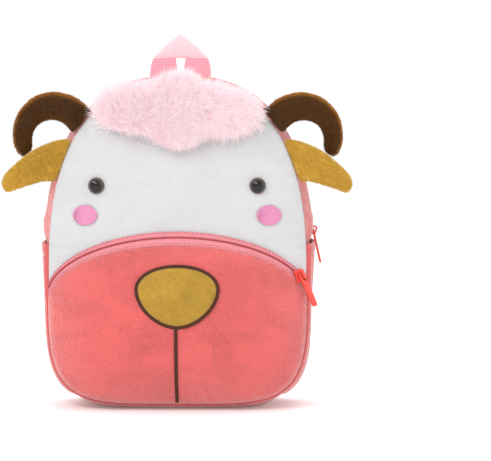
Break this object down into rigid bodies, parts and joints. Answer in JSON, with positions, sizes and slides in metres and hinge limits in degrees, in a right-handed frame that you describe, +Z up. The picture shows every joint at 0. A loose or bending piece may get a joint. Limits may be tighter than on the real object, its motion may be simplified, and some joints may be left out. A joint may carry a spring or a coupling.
{
  "type": "kids backpack",
  "caption": "Small child's plush backpack shaped as a ram's face, with a zipped muzzle pocket, open side pockets, a carrying loop and padded straps on ladder-lock buckles.",
  "frame": {"origin": "on the floor, under the middle of the base", "axes": "+Z up, the face looks along -Y, the straps are on +Y, +X is to the right in the front view"},
  "size_m": [0.2756, 0.1462, 0.2945],
  "materials": {
    "coral_plush": "short sheared plush",
    "white_plush": "short sheared plush",
    "mustard_plush": "short sheared plush",
    "brown_plush": "short sheared plush with lighter tips",
    "pink_fur": "long fluffy pile",
    "pink_webbing": "ribbed woven webbing",
    "pink_plastic": "satin",
    "black_plastic": "polished",
    "pink_stitching": "satin stitch",
    "brown_stitching": "satin stitch",
    "coral_tape": "woven zip tape",
    "red_metal": "gloss paint"
  },
  "bodies": {
    "root": {"face_panel": "white_plush", "muzzle_pocket": "coral_plush", "pocket_zipper": "coral_tape", "gusset": "coral_plush", "main_zipper": "coral_tape", "back_panel": "coral_plush", "side_pocket_right": "coral_plush", "side_pocket_left": "coral_plush", "horn_right": "brown_plush", "horn_left": "brown_plush", "ear_right": "mustard_plush", "ear_left": "mustard_plush", "forelock": "pink_fur", "eye_right": "black_plastic", "eye_left": "black_plastic", "cheek_right": "pink_stitching", "cheek_left": "pink_stitching", "nose_patch": "mustard_plush", "nose_outline": "brown_stitching", "mouth_line": "brown_stitching", "handle_loop": "pink_webbing", "strap_right": "mustard_plush", "strap_left": "mustard_plush", "strap_tab_right": "pink_webbing", "strap_tab_left": "pink_webbing", "buckle_right": "pink_plastic", "buckle_left": "pink_plastic", "anchor_webbing_right": "pink_webbing", "anchor_webbing_left": "pink_webbing", "pocket_slider": "red_metal", "main_slider": "red_metal"},
    "pocket_pull": {"pocket_pull": "red_metal"},
    "main_pull": {"main_pull": "red_metal"}
  },
  "joints": [
    {"name": "pocket_pull_swing", "type": "hinge", "parent": "root", "child": "pocket_pull", "pos_m": [0.09751, -0.04824, 0.10695], "axis": [-0.6302, -0.7418, -0.2294], "range_deg": [0, 150]},
    {"name": "main_pull_swing", "type": "hinge", "parent": "root", "child": "main_pull", "pos_m": [0.1066, 0, 0.13897], "axis": [0, -1, 0], "range_deg": [0, 120]}
  ]
}
